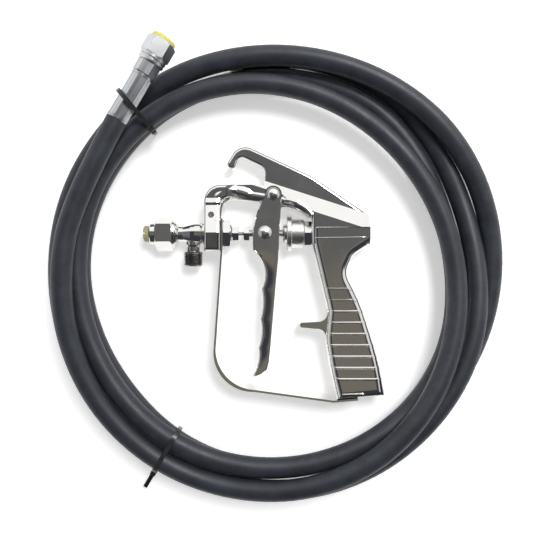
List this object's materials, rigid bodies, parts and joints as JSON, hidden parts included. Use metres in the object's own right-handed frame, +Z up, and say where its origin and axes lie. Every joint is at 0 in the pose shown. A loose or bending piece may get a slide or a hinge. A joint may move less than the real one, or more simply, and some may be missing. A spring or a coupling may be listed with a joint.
{
  "type": "airless paint spray gun with hose",
  "caption": "Airless paint spray gun with ribbed pistol grip, finger guard and hanging hook, lying inside the coil of its own high-pressure hose.",
  "frame": {"origin": "bottom centre of the gun's own box, on the surface that it lies on", "axes": "+X from the spray tip back along the needle, +Y from the handle's foot to the hanging hook, +Z up, square to the gun's side"},
  "size_m": [0.3344, 0.3333, 0.0506],
  "materials": {
    "chrome_casting": "plated zinc casting, polished",
    "chrome_turned": "turned and plated, bright",
    "chrome_pressed": "pressed sheet, plated",
    "steel": "turned steel",
    "zinc_steel": "zinc plated, satin",
    "tip": "dull olive passivated",
    "seal": "white seal plastic",
    "hose_cover": "matt black extruded cover",
    "cap": "pale yellow soft plastic",
    "tie": "black nylon"
  },
  "bodies": {
    "gun_body": {"gun_casting": "chrome_casting", "fluid_head": "chrome_turned", "valve_seat": "steel", "tip_gasket": "seal", "packing_seal": "seal", "packing_nut": "chrome_turned", "jam_nut": "chrome_turned", "lug_screw": "steel", "guard_strap": "chrome_pressed", "strap_screw": "steel", "pivot_screw": "chrome_turned", "pivot_nut": "chrome_turned", "lock_nut": "chrome_turned", "spring_stud": "steel", "return_spring": "steel"},
    "needle_train": {"needle": "steel", "coupling_nut": "chrome_turned", "draw_rod": "steel", "cross_block": "steel", "cross_screws": "chrome_turned"},
    "trigger_lever": {"trigger": "chrome_pressed"},
    "adjuster": {"adjuster_knob": "chrome_turned"},
    "retainer": {"retainer_nut": "chrome_turned"},
    "tip": {"spray_tip": "tip"},
    "hose_coil": {"hose": "hose_cover", "near_ferrule": "zinc_steel", "near_stem": "zinc_steel", "far_ferrule": "zinc_steel", "far_stem": "zinc_steel", "coil_tie": "tie", "ferrule_tie": "tie"},
    "swivel": {"swivel_nut": "zinc_steel"},
    "near_plug": {"near_cap": "cap"},
    "far_plug": {"far_cap": "cap"}
  },
  "joints": [
    {"name": "trigger_pull", "type": "hinge", "parent": "gun_body", "child": "trigger_lever", "pos_m": [0.00705, 0.0571, 0.0142], "axis": [0, 0, 1], "range_deg": [0, 7], "stiffness_Nm_per_rad": 4, "springref_deg": -5.73},
    {"name": "needle_slide", "type": "slide", "parent": "gun_body", "child": "needle_train", "axis": [1, 0, 0], "range_m": [0, 0.0036], "deforming": ["return_spring"]},
    {"name": "adjuster_turn", "type": "hinge", "parent": "gun_body", "child": "adjuster", "pos_m": [0.01695, 0.0297, 0.0142], "axis": [1, 0, 0], "continuous": true},
    {"name": "retainer_turn", "type": "hinge", "parent": "gun_body", "child": "retainer", "pos_m": [-0.07205, 0.0297, 0.0142], "axis": [1, 0, 0], "continuous": true},
    {"name": "tip_turn", "type": "hinge", "parent": "gun_body", "child": "tip", "pos_m": [-0.07605, 0.0297, 0.0142], "axis": [1, 0, 0], "range_deg": [-90, 90]},
    {"name": "hose_lift", "type": "slide", "parent": "gun_body", "child": "hose_coil", "axis": [0, 0, 1], "range_m": [0, 0.06]},
    {"name": "swivel_spin", "type": "hinge", "parent": "hose_coil", "child": "swivel", "pos_m": [-0.1001, 0.10567, 0.0404], "axis": [0.509, 0.8607, 0], "continuous": true},
    {"name": "near_cap_pull", "type": "slide", "parent": "swivel", "child": "near_plug", "axis": [0.509, 0.8607, 0], "range_m": [0, 0.015]},
    {"name": "far_cap_pull", "type": "slide", "parent": "hose_coil", "child": "far_plug", "axis": [-0.9995, -0.0314, 0], "range_m": [0, 0.015]}
  ],
  "couplings": [
    {"joint": "needle_slide", "follows": "trigger_pull", "m_per_rad": 0.0281}
  ]
}
